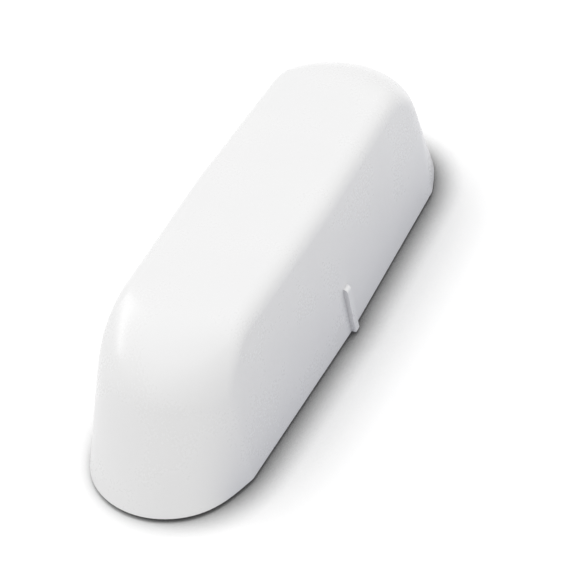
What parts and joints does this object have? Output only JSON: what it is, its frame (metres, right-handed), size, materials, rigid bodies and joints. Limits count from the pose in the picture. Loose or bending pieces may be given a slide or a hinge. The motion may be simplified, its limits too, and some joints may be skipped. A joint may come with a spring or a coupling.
{
  "type": "door window sensor",
  "caption": "Long round-ended housing with sloping ends and an alignment mark, holding a cell, a board, a reed switch and an antenna; fixed flat by its back.",
  "frame": {"origin": "centre of the flat back, on the surface the sensor is fixed to", "axes": "+X along the body, -Y towards the alignment mark and the magnet, +Z out of the surface"},
  "size_m": [0.08, 0.0241, 0.0205],
  "materials": {
    "cover_plastic": "satin moulded white",
    "base_plastic": "matt moulded white",
    "cell_wrap": "shrink sleeve with bare metal ends",
    "spring_metal": "nickel plated",
    "board_green": "solder mask over copper",
    "clear_glass": "clear",
    "lead_metal": "tinned",
    "screw_steel": "zinc plated",
    "switch_black": "moulded",
    "plunger_white": "moulded",
    "cap_plastic": "moulded",
    "chip_resin": "moulded resin",
    "pin_tin": "tinned",
    "crystal_can": "plated lid",
    "capacitor_can": "bare can",
    "light_lens": "milky lens",
    "chip_ceramic": "ceramic with tinned ends",
    "radio_laminate": "solder mask over copper",
    "shield_metal": "tinned sheet",
    "antenna_wire": "enamelled copper wire"
  },
  "bodies": {
    "housing": {"front_cover": "cover_plastic", "base_plate": "base_plastic", "battery_cell": "cell_wrap", "battery_contact_positive": "spring_metal", "battery_contact_negative": "spring_metal", "circuit_board": "board_green", "reed_tube": "clear_glass", "reed_leads": "lead_metal", "board_screws": "screw_steel", "tamper_switch_body": "switch_black", "learn_button_body": "switch_black", "microcontroller": "chip_resin", "microcontroller_pins": "pin_tin", "crystal": "crystal_can", "capacitor": "capacitor_can", "status_light": "light_lens", "chip_parts": "chip_ceramic", "radio_board": "radio_laminate", "radio_shield": "shield_metal", "antenna_coil": "antenna_wire"},
    "tamper_plunger": {"tamper_plunger": "plunger_white"},
    "learn_button": {"learn_button_cap": "cap_plastic"}
  },
  "joints": [
    {"name": "tamper_press", "type": "slide", "parent": "housing", "child": "tamper_plunger", "axis": [0, 0, -1], "range_m": [0, 0.00025], "stiffness_N_per_m": 400, "springref_m": -0.001},
    {"name": "learn_press", "type": "slide", "parent": "housing", "child": "learn_button", "axis": [0, 0, -1], "range_m": [0, 0.00025], "stiffness_N_per_m": 800, "springref_m": -0.001}
  ]
}
